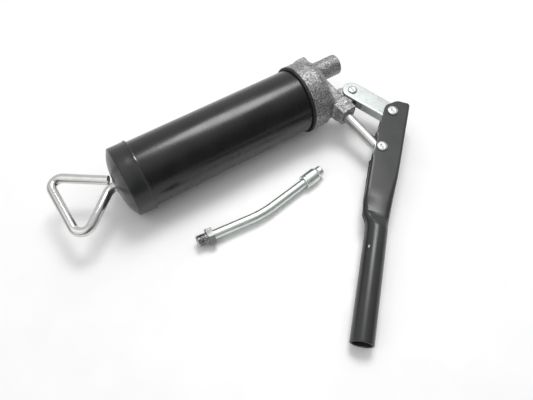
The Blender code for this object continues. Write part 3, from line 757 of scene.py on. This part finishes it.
def make_head():
    """The casting, with a lumpy sand skin everywhere except in its bores and on the faces cut flat."""
    points, faces = skin(head_gap, (166, -41, -32), (225, 36, 32), CAST_STEP)
    s, y, n = points.T
    normals = gradient(head_gap, points, 0.2)
    normals /= np.maximum(np.linalg.norm(normals, axis=1, keepdims=True), 1e-6)
    in_socket = (np.hypot(y, n) < BARREL_R + 0.6) & (s < HEAD_FLOOR + 0.3)
    in_outlet = (np.hypot(y - OUTLET_Y, n) < OUTLET_BORE_R + 0.4) & (s > 195)
    cast = 1 - smooth_step(s, OUTLET_END - 1.2, OUTLET_END - 0.4)
    cast = cast * smooth_step(s, COLLAR_REAR + 0.4, COLLAR_REAR + 1.6) * ~(in_socket | in_outlet)
    lumps = 0.08 * ripple(points, 6.0, 1) + 0.03 * ripple(points, 1.9, 2)
    points = points + normals * (cast * (lumps - 0.10))[:, None]
    build("head_skin", points, faces, GUN, CAST, "gun", "head_casting", sharp=50)


def make_outlet_thread():
    """A threaded lining in the outlet's bore."""
    rings = []
    for height in np.arange(OUTLET_THREAD_START, OUTLET_THREAD_END, THREAD_STEP):
        rings.append(ring(thread_radius(OUTLET_THREAD_R, OUTLET_THREAD_CREST, height), height, 60))
    for radius, height in ((4.97, 222.9), (4.98, 222.95), (4.99, OUTLET_THREAD_START)):
        rings.append(ring(radius, height, 60))
    matrix = GUN @ Matrix.Translation(Vector((0, OUTLET_Y, 0)) * MM) @ ALONG_X
    build("outlet_thread", *loft(rings), matrix, DARK_STEEL, "gun", slot="cast_iron", sharp=60)


# ---------------------------------------------------------------- pull rod with its loop handle, and spring

ROD_CORNERS = [((151.5, 0), 0), ((-12.8, 0), 12.0), ((-49.7, -33.2), 7.5), ((-52.0, 35.6), 7.5)]
ROD_CORNERS += [((-9.8, 7.8), 0)]
SPRING_R = 24.5
SPRING_WIRE_R = 0.9
SPRING_REAR, SPRING_FRONT = 5.5, 150.5
SPRING_TURNS = 8


def make_pull_rod():
    """The rod bent into a three-sided loop, whose cut end stops short of the cap."""
    path = rounded(ROD_CORNERS, closed=False, arc_steps=18)
    chamfer = 0.6
    first, last = path[0], path[-1]
    path.insert(1, first + (path[1] - first).normalized() * chamfer)
    path.insert(-1, last + (path[-2] - last).normalized() * chamfer)
    tube_ring = swept(path, 40)
    rings = [tube_ring(0, 0.0), tube_ring(0, ROD_R - chamfer)]
    rings += [tube_ring(i, ROD_R) for i in range(1, len(path) - 1)]
    rings += [tube_ring(len(path) - 1, ROD_R - 0.5), tube_ring(len(path) - 1, 0.0)]
    build("pull_rod_skin", *loft(rings), GUN, CHROME, "pull_rod", "pull_rod")


def make_spring():
    """The follower spring, coiled along the barrel, with a mesh of its own."""
    per_turn = 36
    steps = SPRING_TURNS * per_turn
    length = SPRING_FRONT - SPRING_REAR
    angles = np.arange(12) * math.pi / 6
    rings = []
    for step in range(steps + 1):
        turn = 2 * math.pi * step / per_turn
        outward = np.array([math.cos(turn), math.sin(turn), 0])
        centre = outward * SPRING_R + np.array([0, 0, SPRING_REAR + length * step / steps])
        circle = np.outer(np.cos(angles), outward) + np.outer(np.sin(angles), (0, 0, 1))
        rings.append(centre + circle * (SPRING_WIRE_R if 0 < step < steps else 0))
    spring = build("spring_skin", *loft(rings), GUN @ ALONG_X, SPRING_STEEL, "gun", "follower_spring")
    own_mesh(spring)


# ---------------------------------------------------------------- pump plunger and rivets

PLUNGER_R = 4.75
PLUNGER_TIP = 3.0
PLUNGER_EYE_R = 6.0
PLUNGER_EYE_HALF = 4.5


def plunger_gap(x, y, n):
    """A round rod with a bevelled tip at one end and a flat eye for its pin at the other."""
    pin_radius = np.hypot(x, y + PLUNGER_REACH)
    rod = cylinder_gap(x, n, y, PLUNGER_R, -PLUNGER_REACH, PLUNGER_TIP)
    rod = soft_max(rod, np.hypot(x, n) + (y - PLUNGER_TIP) - (PLUNGER_R - 0.75), 0.4)
    eye = soft_max(pin_radius - PLUNGER_EYE_R, np.abs(n) - PLUNGER_EYE_HALF, 0.6)
    return soft_max(soft_min(rod, eye, 1.0), PIN_R + 0.06 - pin_radius, 0.3)


def make_plunger():
    """The pump's plunger."""
    mesh = skin(plunger_gap, (-7.5, -PLUNGER_REACH - 7.5, -6), (7.5, 4, 6), 0.5)
    build("plunger_skin", *mesh, PUMP, GROUND_STEEL, "plunger", "plunger_rod", sharp=40)


def make_rivet(name, node, body, matrix, cheek, head_r):
    """A rivet with a low dome at each end, dished by the closing tool. Its cheeks are that far out."""
    half = cheek + 0.1
    upper = [(0, half + 1.3, 0)]
    for share in np.linspace(0.12, 0.93, 12):
        dish = 0.30 * math.exp(-((share / 0.34) ** 4))
        upper.append((head_r * share, half + 0.55 + 1.05 * math.sqrt(1 - share**4) - dish, 0))
    upper += [(head_r, half + 0.85, 0.3), (head_r, half, 0.15), (PIN_R, half, 0.1)]
    lower = [(radius, -height, rounding) for radius, height, rounding in reversed(upper)]
    points, faces = turned(upper + lower, 56, 3)
    points += 0.05 * np.stack([ripple(points, 3.5, seed) for seed in (11, 12, 13)], axis=1)
    build(name, points, faces, matrix, RIVET_ZINC, body, node, sharp=50)


# ---------------------------------------------------------------- link

LINK_HALF = 4.6
LINK_HALF_WIDTH = 8.7
LINK_SHEET = 1.5
LINK_BEND = 1.9
LINK_WEB_START = 15.0
LINK_WEB_PAST_PIN = 3.0
LOOSE_HOLE_R = 4.5


def link_gap(x, y, n):
    """The folded link: two round-ended cheeks and a web between them on one side, cut away near the head."""
    outline = np.hypot(x - np.clip(x, 0, LINK_LENGTH), y) - LINK_HALF_WIDTH
    side, inner = -LINK_HALF_WIDTH, LINK_HALF - LINK_SHEET
    fold = box_gap((y, n), (side, -LINK_HALF), (40, LINK_HALF), LINK_BEND)
    gap = soft_max(outline, fold, 0.35)
    between = box_gap((y, n), (side + LINK_SHEET, -inner), (60, inner), 0.5)
    before_web = box_gap((x, y, n), (-30, -30, -inner), (LINK_WEB_START, side + 6, inner), 0.5)
    past = LINK_LENGTH + LINK_WEB_PAST_PIN
    past_web = box_gap((x, y, n), (past, -30, -inner), (90, side + 6, inner), 0.5)
    for space in (between, before_web, past_web):
        gap = soft_max(gap, -space, 0.3)
    gap = soft_max(gap, PIN_R + 0.1 - np.hypot(x, y), 0.25)
    return soft_max(gap, LOOSE_HOLE_R - np.hypot(x - LINK_LENGTH, y), 0.25)


def make_link():
    """The link between the head's ear and the lever."""
    mesh = skin(link_gap, (-10, -10, -5.5), (LINK_LENGTH + 10, 10, 5.5), 0.42)
    build("link_skin", *mesh, LINK, LINK_ZINC, "link", "link_yoke", sharp=48)


# ---------------------------------------------------------------- lever

LEVER_HALF = 6.6
LEVER_SHEET = 1.5
HANDLE_R = 8.9
HANDLE_END = 166.5
LINK_PIN_IN_LEVER = LEVER.inverted() @ middle("link_pin") / MM

# The sides of the channel in its own plane, and half of the gap between its curled edges, as (x, value).
WEB_LINE = ([-52, 22, 60, 72, 76], [20.0, 16.7, 14.2, 13.9, 14.1])
LIP_LINE = ([-60, 14, 40, 58, 64, 72, 78], [-9, -7.4, -7.8, -8.2, -7.6, -4.2, -3.7])
LEVER_MOUTH = ([8, 26, 58, 68, 74], [LEVER_HALF - LEVER_SHEET, 2.9, 2.2, 0.8, 0.35])

# The outline of the cut end and of its two notches: (point, radius).
LEVER_FRONT = [((40.0, -20.0), 0), ((9.2, -7.2), 0.4), ((7.8, -5.9), 0.4), ((-11.6, -4.9), 0.4)]
LEVER_FRONT += [((-13.0, -6.0), 0.4), ((-21.4, -5.3), 0.4), ((-22.8, -4.0), 0.4), ((-44.8, -1.9), 8.0)]
LEVER_FRONT += [((-52.4, 8.0), 6.0), ((-51.8, 20.0), 4.5), ((40.0, 40.0), 0)]
LEVER_FRONT_END = 30


def lever_gap(x, y, n):
    """A pressed channel whose edges curl in and close into a round tube, with a step where the tube starts.

    The dip and the crown are the shallow hollow and the rounding of the cheeks just before the step.
    """
    tube = smooth_step(x, 62.5, 75.0)
    dip = 0.9 * smooth_step(x, 48, 64.5) * (1 - smooth_step(x, 64.5, 72))
    crown = 0.0075 * np.maximum(10 - y, 0) ** 2 * smooth_step(x, 38, 58) * (1 - smooth_step(x, 61, 66))
    half_height = LEVER_HALF - dip - crown + (HANDLE_R - LEVER_HALF) * smooth_step(x, 65.0, 76.0)
    web, lip = np.interp(x, *WEB_LINE), np.interp(x, *LIP_LINE)
    centre, half_width = (web + lip) / 2, (web - lip) / 2
    web_bend = 2.0 + 2.6 * smooth_step(x, 15, 55)
    lip_bend = 0.2 + 2.2 * smooth_step(x, 6, 14) + 2.2 * smooth_step(x, 48, 64)
    bend = np.where(y > centre, web_bend, lip_bend) + (HANDLE_R - 4.6) * tube
    bend = np.minimum(bend, np.minimum(half_height, half_width) - 0.02)
    dy = np.abs(y - centre) - half_width + bend
    dn = np.abs(n) - half_height + bend
    outer = np.minimum(np.maximum(dy, dn), 0) + np.hypot(np.maximum(dy, 0), np.maximum(dn, 0)) - bend
    sheet = soft_max(outer, -(outer + LEVER_SHEET), 0.25)

    slot = np.maximum(np.abs(n) - np.interp(x, *LEVER_MOUTH), y - (lip + LEVER_SHEET + 3.2))
    sheet = soft_max(sheet, -slot, 0.3)
    front = soft_max(sheet, outline_gap(x, y, LEVER_FRONT), 0.35)
    sheet = np.where(x < LEVER_FRONT_END, front, sheet)
    sheet = soft_max(sheet, x - HANDLE_END, 0.5)
    for px, py in ((0, 0), (LINK_PIN_IN_LEVER.x, LINK_PIN_IN_LEVER.y)):
        sheet = soft_max(sheet, PIN_R + 0.1 - np.hypot(x - px, y - py), 0.25)
    return sheet


def make_lever():
    """The hand lever."""
    mesh = skin(lever_gap, (-55, -10, -10), (168, 21, 10), 0.6)
    build("lever_skin", *mesh, LEVER, LEVER_PAINT, "lever", "lever_handle", sharp=48)


# ---------------------------------------------------------------- loose extension pipe

THREAD_END = Vector((-58.2, 5.7, 0))
COUPLER_END = Vector((66.9, 10.9, 0))
PIPE_R = 4.0
PIPE_BORE_R = 2.2
PIPE_BEND_R = 90.0
PIPE_THREAD_LENGTH = 8.6
PIPE_THREAD_ROOT, PIPE_THREAD_CREST = 4.28, 4.84
NUT_HALF_FLATS = 7.0
NUT_LOW, NUT_HIGH = 8.9, 14.2
COUPLER_R = 6.1
COUPLER_BORE_R = 5.1


def make_pipe():
    """The bent pipe, drawn down over its thread at one end."""
    start_r, growth, full_height = 3.9, 1.2, 0.9
    pipe_end = COUPLER_END - COUPLER_END.normalized() * 12.4
    corners = [(THREAD_END, 0), (Vector((0, 0, 0)), PIPE_BEND_R), (pipe_end, 0)]
    path = rounded(corners, closed=False, arc_steps=24)
    along = (path[1] - path[0]).normalized()
    heights = list(np.arange(0.0, PIPE_THREAD_LENGTH + 1.2, THREAD_STEP))
    path = [path[0] + along * height for height in heights] + path[1:]
    tube_ring = swept(path, 60)
    rings = []
    for i, height in enumerate(heights):
        if height > PIPE_THREAD_LENGTH:
            rings.append(tube_ring(i, PIPE_R))
            continue
        share = min(height * growth, full_height) / full_height
        thread = thread_radius(PIPE_THREAD_ROOT, PIPE_THREAD_CREST, height)
        rings.append(tube_ring(i, lambda angles, t=thread, s=share: start_r + (t(angles) - start_r) * s))
    rings += [tube_ring(i, PIPE_R) for i in range(len(heights), len(path) - 1)]
    rings += [tube_ring(len(path) - 1, PIPE_R - 0.3), tube_ring(len(path) - 1, PIPE_BORE_R)]
    rings += [tube_ring(i, PIPE_BORE_R) for i in range(len(path) - 2, 3, -1)]
    rings += [tube_ring(3, PIPE_BORE_R), tube_ring(0, PIPE_BORE_R + 0.4)]
    build("pipe_skin", *loft(rings), PIPE, PIPE_ZINC, "pipe", "extension_pipe", sharp=60)


def make_nut():
    """The lock nut: a hexagon with both rims chamfered."""
    hole_r, cone_slope = 4.12, 1.9

    def nut_gap(x, y, z):
        sides = [np.abs(x * math.cos(a) + y * math.sin(a)) for a in np.radians((0, 60, 120))]
        hexagon = np.max(np.stack(sides), axis=0) - NUT_HALF_FLATS
        gap = soft_max(hexagon, np.maximum(NUT_LOW - z, z - NUT_HIGH), 0.2)
        rim = np.hypot(x, y) - NUT_HALF_FLATS - 0.25
        cone = np.maximum(rim - (NUT_HIGH - z) * cone_slope, rim - (z - NUT_LOW) * cone_slope) * 0.5
        return soft_max(soft_max(gap, cone, 0.2), hole_r - np.hypot(x, y), 0.3)

    mesh = skin(nut_gap, (-9, -9, 8), (9, 9, 15), 0.3)
    turn = math.atan2(-THREAD_END.y, -THREAD_END.x)
    build("nut_skin", *mesh, spun(PIPE, turn, THREAD_END) @ ALONG_X, NUT_ZINC, "pipe", "pipe_nut", sharp=30)


def make_coupler():
    """The coupler sleeve: a tapered nose, a straight body, and a groove in front of its rear flange."""
    groove_r, neck_r = COUPLER_R - 0.7, PIPE_R + 0.15
    nose = [(3.7, -0.1, 0.1), (4.25, 0.0, 0.25), (4.6, -0.9, 0.3), (4.65, -4.4, 1.2), (COUPLER_R, -7.2, 0.6)]
    rear = [(COUPLER_R, -17.8, 0.2), (groove_r, -18.2, 0.2), (groove_r, -18.7, 0.2), (COUPLER_R, -19.1, 0.2)]
    rear += [(COUPLER_R, -20.5, 0.5), (neck_r, -20.5, 0.2)]
    inside = [(neck_r, -12.1, 0.1), (COUPLER_BORE_R, -12.1, 0.1), (COUPLER_BORE_R, -7.6, 0.2)]
    profile = nose + rear + inside + [(3.7, -5.6, 0.3)]
    turn = math.atan2(COUPLER_END.y, COUPLER_END.x)
    matrix = spun(PIPE, turn, COUPLER_END) @ ALONG_X
    build("coupler_skin", *turned(profile, 96, 4), matrix, PIPE_ZINC, "pipe", "coupler_sleeve", sharp=40)


# ---------------------------------------------------------------- inner pieces keep their CAD shape


def dress_inner_pieces():
    """Gives the CAD nodes that no piece replaces their materials."""
    finishes = {
        RUBBER: ("follower_cup", "plunger_seal", "coupler_seal"),
        GROUND_STEEL: ("check_ball", "check_spring", "coupler_piston"),
        DARK_STEEL: ("valve_retainer", "coupler_jaw_1", "coupler_jaw_2", "coupler_jaw_3"),
        RIVET_ZINC: ("follower_plate_rear", "follower_plate_front", "rod_nut"),
    }
    for finish, names in finishes.items():
        for name in names:
            node = frame["nodes"][name]
            node.data.materials.clear()
            node.data.materials.append(finish)


# ---------------------------------------------------------------- floor, light and camera

FLOOR_HALF = 4.0
FLOOR_Z = -0.1 * MM
FLOOR_COLOURS = (0.895, 0.897, 0.893), (0.915, 0.915, 0.915)
LAMP_TARGET = Vector((0.0, 0.03, 0.0))
LAMP_DIRECTION = Vector((0.28, 0.29, 0.92)).normalized()
LAMP_DISTANCE = 1.15
LAMP_WIDTH, LAMP_DEPTH = 0.50, 0.40
LAMP_POWER = 6.0

# The even light of the room, and its brighter parts: (direction, cosine at the edge, at the core, strength).
ROOM_LIGHT = 0.16
WINDOW_SIDE = ((0.35, 0.75, 0.56), -0.20, 0.80, 0.58)
LEFT_PANEL = ((-0.60, -0.30, 0.75), 0.55, 0.97, 0.80)

# The camera's place from the barrel's rear end, and the picture's right and down, all solved from the photo.
CAMERA_PLACE = Vector((-25.4752, -256.9787, 331.7380)) * MM
CAMERA_RIGHT = Vector((0.844968, -0.534796, -0.004627))
CAMERA_DOWN = Vector((-0.451908, -0.709326, -0.540958))
CAMERA_SENSOR = 36.0
CAMERA_LENS = 33.93


def make_floor():
    """A pale, slightly glossy table top, nearly even in colour."""
    mesh = bpy.data.meshes.new("floor")
    bm = bmesh.new()
    bmesh.ops.create_grid(bm, x_segments=1, y_segments=1, size=FLOOR_HALF)
    bm.to_mesh(mesh)
    bm.free()
    floor = bpy.data.objects.new("floor", mesh)
    bpy.context.scene.collection.objects.link(floor)
    floor.location.z = FLOOR_Z
    finish = Finish("floor_top", "", (0.9, 0.9, 0.9), 0.0, 0.3)
    finish.set("Base Color", finish.colours(finish.ramp(finish.noise(60, 5), 0.35, 0.65), *FLOOR_COLOURS))
    finish.set("Roughness", finish.ramp(finish.noise(30, 3), 0.3, 0.7, 0.28, 0.42))
    mesh.materials.append(finish.material)


def make_lamp():
    """A soft light overhead."""
    data = bpy.data.lights.new("overhead", "AREA")
    data.shape = "RECTANGLE"
    data.size, data.size_y = LAMP_WIDTH, LAMP_DEPTH
    data.energy = LAMP_POWER
    lamp = bpy.data.objects.new("overhead", data)
    bpy.context.scene.collection.objects.link(lamp)
    lamp.location = LAMP_TARGET + LAMP_DIRECTION * LAMP_DISTANCE
    lamp.rotation_euler = LAMP_DIRECTION.to_track_quat("Z", "Y").to_euler()


def make_room():
    """A dim even room with a bright window side behind the gun and a small soft panel on the left."""
    world = bpy.data.worlds.new("studio")
    bpy.context.scene.world = world
    world.use_nodes = True
    nodes, links = world.node_tree.nodes, world.node_tree.links
    place = nodes.new("ShaderNodeTexCoord").outputs["Generated"]
    even = nodes.new("ShaderNodeValue")
    total = even.outputs["Value"]
    total.default_value = ROOM_LIGHT
    for direction, edge, core, strength in (WINDOW_SIDE, LEFT_PANEL):
        towards = nodes.new("ShaderNodeVectorMath")
        towards.operation = "DOT_PRODUCT"
        towards.inputs[1].default_value = Vector(direction).normalized()
        links.new(place, towards.inputs[0])
        spread = nodes.new("ShaderNodeMapRange")
        spread.interpolation_type = "SMOOTHSTEP"
        for socket, number in zip(("From Min", "From Max", "To Max"), (edge, core, strength)):
            spread.inputs[socket].default_value = number
        links.new(towards.outputs["Value"], spread.inputs["Value"])
        both = nodes.new("ShaderNodeMath")
        links.new(total, both.inputs[0])
        links.new(spread.outputs["Result"], both.inputs[1])
        total = both.outputs["Value"]
    links.new(total, nodes["Background"].inputs["Strength"])
    nodes["Background"].inputs["Color"].default_value = (1.0, 1.0, 1.0, 1.0)


def make_camera():
    """The photograph's viewpoint, a little to the lever's side and close above the table."""
    data = bpy.data.cameras.new("camera")
    data.sensor_width = CAMERA_SENSOR
    data.lens = CAMERA_LENS
    data.clip_start = 0.01
    camera = bpy.data.objects.new("camera", data)
    bpy.context.scene.collection.objects.link(camera)
    turn = Matrix((CAMERA_RIGHT, -CAMERA_DOWN, CAMERA_RIGHT.cross(-CAMERA_DOWN))).transposed()
    camera.matrix_world = Matrix.Translation(GUN.translation + CAMERA_PLACE) @ turn.to_4x4()
    bpy.context.scene.camera = camera


# ---------------------------------------------------------------- everything in its place

bpy.context.scene.view_settings.view_transform = "Standard"
make_camera()
make_lamp()
make_room()
make_floor()
make_barrel()
make_cap()
make_bush()
make_gasket()
make_head()
make_outlet_thread()
make_pull_rod()
make_spring()
make_plunger()
make_rivet("head_pin_skin", "head_pin", "link", LINK, LINK_HALF, 4.1)
make_link()
make_lever()
make_rivet("plunger_pin_skin", "plunger_pin", "lever", LEVER, LEVER_HALF, 4.7)
make_rivet("link_pin_skin", "link_pin", "lever", spun(LEVER, 0, LINK_PIN_IN_LEVER), LEVER_HALF, 4.7)
make_pipe()
make_nut()
make_coupler()
dress_inner_pieces()
